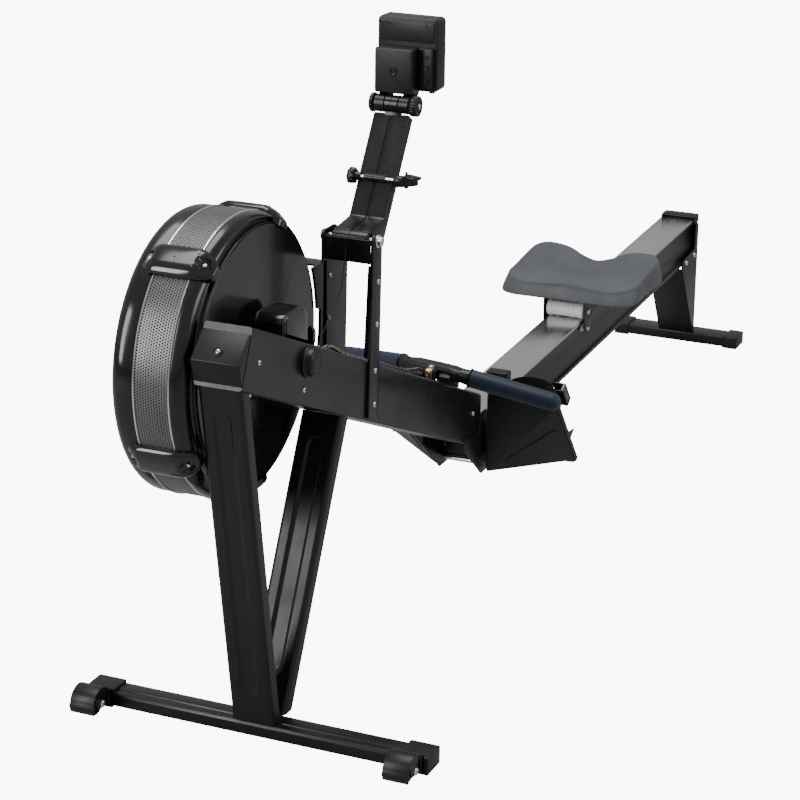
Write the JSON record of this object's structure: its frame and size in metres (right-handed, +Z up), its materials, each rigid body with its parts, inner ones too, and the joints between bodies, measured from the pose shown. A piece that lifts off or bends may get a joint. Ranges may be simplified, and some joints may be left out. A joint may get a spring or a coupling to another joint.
{
  "type": "rowing machine",
  "caption": "Indoor rowing machine: fan flywheel in a round housing, sloping main beam, monorail with rolling seat, handle on a chain, footrests and a monitor on a hinged arm.",
  "frame": {"origin": "on the floor, at the middle of the machine's length and width", "axes": "+X from the flywheel along the monorail to the rear foot, +Z up, +Y towards the flywheel housing's side (the seated rower's right)"},
  "size_m": [2.416, 0.61, 1.062],
  "materials": {
    "frame_black": "satin black powder coat",
    "cover_black": "semi-gloss moulded black with a fine grain",
    "clip_black": "gloss moulded black",
    "screen_metal": "perforated sheet, bare, slightly warm grey",
    "cap_black": "matte moulded black",
    "wheel_black": "hard black tread",
    "bolt_steel": "bright zinc plating",
    "track_steel": "lengthwise brushed stainless",
    "rail_charcoal": "dark anodised extrusion with fine lengthwise lines",
    "rotor_metal": "cast, lightly machined",
    "sprocket_steel": "oiled steel",
    "damper_grey": "matte moulded dark grey",
    "arm_black": "fine-textured black",
    "monitor_black": "fine-textured black",
    "button_grey": "soft grey keypad rubber",
    "display_glass": "clear window over a grey-green display",
    "wire_black": "black insulation",
    "handle_black": "matte moulded black",
    "grip_navy": "dark navy soft grip with fine ribs",
    "swivel_brass": "yellow passivated",
    "chain_nickel": "nickel-plated roller chain",
    "seat_grey": "matte slate-grey moulded skin",
    "roller_white": "white nylon",
    "footrest_grey": "matte moulded dark grey",
    "heel_grey": "flexible dark grey moulding",
    "strap_black": "woven black webbing",
    "buckle_black": "gloss moulded black"
  },
  "bodies": {
    "base": {"main_beam": "frame_black", "front_leg": "frame_black", "back_leg": "frame_black", "front_foot_bar": "frame_black", "rear_foot_bar": "frame_black", "rear_leg": "frame_black", "near_upright": "frame_black", "far_upright": "frame_black", "near_flywheel_cover": "cover_black", "far_flywheel_cover": "cover_black", "rim_clips": "clip_black", "chain_shroud": "clip_black", "beam_end_cap": "clip_black", "perforated_screen": "screen_metal", "front_foot_caps": "cap_black", "rear_foot_caps": "cap_black", "axle_cap": "cap_black", "rail_stops": "cap_black", "handle_rest": "cap_black", "caster_axles": "bolt_steel", "flywheel_axle": "bolt_steel", "arm_pivot_bolt": "bolt_steel", "frame_screws": "bolt_steel", "footrest_cross_rod": "bolt_steel", "stainless_track": "track_steel", "monorail_beam": "rail_charcoal", "sensor_wire": "wire_black", "pull_chain": "chain_nickel", "footrest_shells": "footrest_grey", "foot_boards": "footrest_grey", "foot_straps": "strap_black", "strap_buckles": "buckle_black"},
    "caster_left": {"caster_wheel_left": "wheel_black"},
    "caster_right": {"caster_wheel_right": "wheel_black"},
    "damper": {"damper_lever": "damper_grey"},
    "flywheel": {"fan_rotor": "rotor_metal"},
    "sprocket": {"clutch_sprocket": "sprocket_steel"},
    "arm": {"monitor_arm": "arm_black"},
    "tilt_screw": {"tilt_bolt": "arm_black"},
    "monitor": {"monitor_casing": "monitor_black", "display_lens": "display_glass", "battery_pack": "monitor_black"},
    "button_1": {"monitor_button_1": "button_grey"},
    "button_2": {"monitor_button_2": "button_grey"},
    "button_3": {"monitor_button_3": "button_grey"},
    "holder_screw": {"device_holder_screw": "arm_black"},
    "clamp": {"device_clamp_body": "arm_black"},
    "jaw": {"device_clamp_jaw": "arm_black"},
    "handle": {"handle_centre": "handle_black", "handle_grips": "grip_navy", "chain_swivel": "swivel_brass"},
    "seat": {"seat_pad": "seat_grey", "seat_carriage": "frame_black", "roller_axles": "bolt_steel"},
    "top_roller_front": {"front_top_roller": "roller_white"},
    "top_roller_rear": {"rear_top_roller": "roller_white"},
    "guide_rollers_front": {"front_lower_rollers": "roller_white"},
    "guide_rollers_rear": {"rear_lower_rollers": "roller_white"},
    "heel_left": {"heel_cup_left": "heel_grey"},
    "heel_right": {"heel_cup_right": "heel_grey"}
  },
  "joints": [
    {"name": "handle_pull", "type": "slide", "parent": "base", "child": "handle", "axis": [0.9703, 0, 0.2419], "range_m": [0, 1.15], "stiffness_N_per_m": 15, "springref_m": -1, "deforming": ["pull_chain"]},
    {"name": "sprocket_turn", "type": "hinge", "parent": "base", "child": "sprocket", "pos_m": [-0.957, 0, 0.603], "axis": [0, 1, 0], "range_deg": [-5, 3001]},
    {"name": "flywheel_spin", "type": "hinge", "parent": "base", "child": "flywheel", "pos_m": [-0.957, 0.11, 0.603], "axis": [0, 1, 0], "continuous": true},
    {"name": "damper_turn", "type": "hinge", "parent": "base", "child": "damper", "pos_m": [-0.957, 0.18, 0.603], "axis": [0, 1, 0], "range_deg": [0, 100]},
    {"name": "seat_slide", "type": "slide", "parent": "base", "child": "seat", "axis": [0.9996, 0, 0.0286], "range_m": [-0.35, 0.57]},
    {"name": "front_top_roller_turn", "type": "hinge", "parent": "seat", "child": "top_roller_front", "pos_m": [0.367, 0, 0.30484], "axis": [0, 1, 0], "range_deg": [-1185, 1927]},
    {"name": "rear_top_roller_turn", "type": "hinge", "parent": "seat", "child": "top_roller_rear", "pos_m": [0.533, 0, 0.30959], "axis": [0, 1, 0], "range_deg": [-1185, 1927]},
    {"name": "front_guide_rollers_turn", "type": "hinge", "parent": "seat", "child": "guide_rollers_front", "pos_m": [0.367, 0, 0.26868], "axis": [0, 1, 0], "range_deg": [-3848, 2365]},
    {"name": "rear_guide_rollers_turn", "type": "hinge", "parent": "seat", "child": "guide_rollers_rear", "pos_m": [0.533, 0, 0.27343], "axis": [0, 1, 0], "range_deg": [-3848, 2365]},
    {"name": "arm_fold", "type": "hinge", "parent": "base", "child": "arm", "pos_m": [-0.707, 0, 0.733], "axis": [0, 1, 0], "range_deg": [0, 75]},
    {"name": "monitor_tilt", "type": "hinge", "parent": "arm", "child": "monitor", "pos_m": [-0.541, 0, 0.921], "axis": [0, 1, 0], "range_deg": [-25, 40]},
    {"name": "tilt_knob_turn", "type": "hinge", "parent": "arm", "child": "tilt_screw", "pos_m": [-0.541, 0, 0.921], "axis": [0, 1, 0], "range_deg": [-180, 180]},
    {"name": "holder_knob_turn", "type": "hinge", "parent": "arm", "child": "holder_screw", "pos_m": [-0.61567, 0, 0.812], "axis": [0, 1, 0], "range_deg": [-360, 360]},
    {"name": "clamp_swing", "type": "hinge", "parent": "arm", "child": "clamp", "pos_m": [-0.61567, -0.045, 0.812], "axis": [0, 1, 0], "range_deg": [-40, 40]},
    {"name": "jaw_open", "type": "hinge", "parent": "clamp", "child": "jaw", "pos_m": [-0.60967, -0.054, 0.821], "axis": [0, 0, 1], "range_deg": [-25, 0], "stiffness_Nm_per_rad": 0.05, "springref_deg": 17.19},
    {"name": "left_wheel_spin", "type": "hinge", "parent": "base", "child": "caster_left", "pos_m": [-1.118, -0.276, 0.024], "axis": [0, 1, 0], "continuous": true},
    {"name": "right_wheel_spin", "type": "hinge", "parent": "base", "child": "caster_right", "pos_m": [-1.118, 0.276, 0.024], "axis": [0, 1, 0], "continuous": true},
    {"name": "left_heel_slide", "type": "slide", "parent": "base", "child": "heel_left", "axis": [-0.6253, 0, 0.7803], "range_m": [0, 0.05]},
    {"name": "right_heel_slide", "type": "slide", "parent": "base", "child": "heel_right", "axis": [-0.6253, 0, 0.7803], "range_m": [0, 0.05]},
    {"name": "button_1_press", "type": "slide", "parent": "monitor", "child": "button_1", "axis": [-1, 0, 0], "range_m": [0, 0.0015], "stiffness_N_per_m": 300, "springref_m": -0.0005},
    {"name": "button_2_press", "type": "slide", "parent": "monitor", "child": "button_2", "axis": [-1, 0, 0], "range_m": [0, 0.0015], "stiffness_N_per_m": 300, "springref_m": -0.0005},
    {"name": "button_3_press", "type": "slide", "parent": "monitor", "child": "button_3", "axis": [-1, 0, 0], "range_m": [0, 0.0015], "stiffness_N_per_m": 300, "springref_m": -0.0005}
  ],
  "couplings": [
    {"joint": "sprocket_turn", "follows": "handle_pull", "rad_per_m": 45.455},
    {"joint": "front_top_roller_turn", "follows": "seat_slide", "rad_per_m": 58.824},
    {"joint": "rear_top_roller_turn", "follows": "seat_slide", "rad_per_m": 58.824},
    {"joint": "front_guide_rollers_turn", "follows": "seat_slide", "rad_per_m": -117.65},
    {"joint": "rear_guide_rollers_turn", "follows": "seat_slide", "rad_per_m": -117.65}
  ]
}
